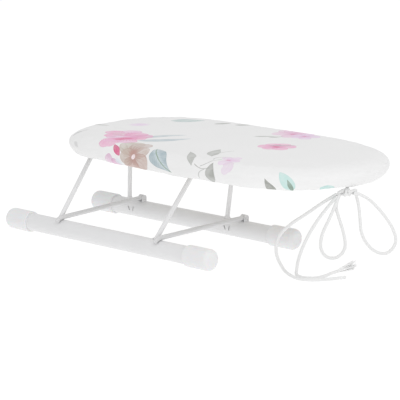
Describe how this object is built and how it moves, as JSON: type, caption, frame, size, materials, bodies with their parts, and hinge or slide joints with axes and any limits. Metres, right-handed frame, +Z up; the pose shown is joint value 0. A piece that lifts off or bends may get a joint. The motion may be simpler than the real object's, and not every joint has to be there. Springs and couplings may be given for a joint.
{
  "type": "tabletop ironing board",
  "caption": "Small padded ironing board, blunt at one end and rounded at the nose, on two folding wire legs with tubular feet, clawed wire braces and a drawstring bow.",
  "frame": {"origin": "middle of the footprint, on the surface that the board stands on, measured without the drawstring bow", "axes": "+X along the board towards its rounded nose, +Y from the front foot, that the claws rest on, to the rear foot, +Z up"},
  "size_m": [0.605, 0.327, 0.15],
  "materials": {
    "panel": "white laminated fibreboard",
    "foam": "open-cell foam",
    "cover": "white woven cotton with a watercolour floral print",
    "cover_hem": "gathered white cotton hem",
    "drawstring": "braided cotton cord",
    "strap_steel": "zinc plated, white coated",
    "screw_steel": "zinc plated",
    "white_wire": "satin white powder coat",
    "white_tube": "satin white powder coat",
    "cap_plastic": "soft white plastic"
  },
  "bodies": {
    "board": {"base_panel": "panel", "foam_pad": "foam", "fabric_cover": "cover", "hem_casing": "cover_hem", "casing_cord": "drawstring", "front_pivot_strap_left": "strap_steel", "front_pivot_strap_right": "strap_steel", "rear_pivot_strap_left": "strap_steel", "rear_pivot_strap_right": "strap_steel", "strap_screws": "screw_steel", "drawstring_knot": "drawstring", "bow_loop_left": "drawstring", "bow_loop_right": "drawstring", "bow_tail_left": "drawstring", "bow_tail_right": "drawstring", "tail_tuft_left": "drawstring", "tail_tuft_right": "drawstring"},
    "front_leg": {"front_leg_frame": "white_wire", "front_leg_welds": "white_wire", "front_foot_tube": "white_tube", "front_foot_cap_left": "cap_plastic", "front_foot_cap_right": "cap_plastic"},
    "rear_leg": {"rear_leg_frame": "white_wire", "rear_leg_welds": "white_wire", "rear_foot_tube": "white_tube", "rear_foot_cap_left": "cap_plastic", "rear_foot_cap_right": "cap_plastic", "brace_clevis_left": "white_wire", "brace_clevis_right": "white_wire", "brace_pin_left": "screw_steel", "brace_pin_right": "screw_steel"},
    "brace_left": {"brace_arm_left": "white_wire"},
    "brace_right": {"brace_arm_right": "white_wire"}
  },
  "joints": [
    {"name": "front_leg_fold", "type": "hinge", "parent": "board", "child": "front_leg", "pos_m": [-0.0785, -0.0656, 0.1216], "axis": [1, 0, 0], "range_deg": [0, 108]},
    {"name": "rear_leg_fold", "type": "hinge", "parent": "board", "child": "rear_leg", "pos_m": [-0.1048, 0.0419, 0.1216], "axis": [1, 0, 0], "range_deg": [0, 79.92]},
    {"name": "brace_left_swing", "type": "hinge", "parent": "rear_leg", "child": "brace_left", "pos_m": [-0.1806, 0.0333, 0.0339], "axis": [1, 0, 0], "range_deg": [-79.92, 0]},
    {"name": "brace_right_swing", "type": "hinge", "parent": "rear_leg", "child": "brace_right", "pos_m": [0.034, 0.0333, 0.0339], "axis": [1, 0, 0], "range_deg": [-79.92, 0]}
  ],
  "couplings": [
    {"joint": "rear_leg_fold", "follows": "front_leg_fold", "ratio": 0.74},
    {"joint": "brace_left_swing", "follows": "front_leg_fold", "ratio": -0.74},
    {"joint": "brace_right_swing", "follows": "front_leg_fold", "ratio": -0.74}
  ]
}
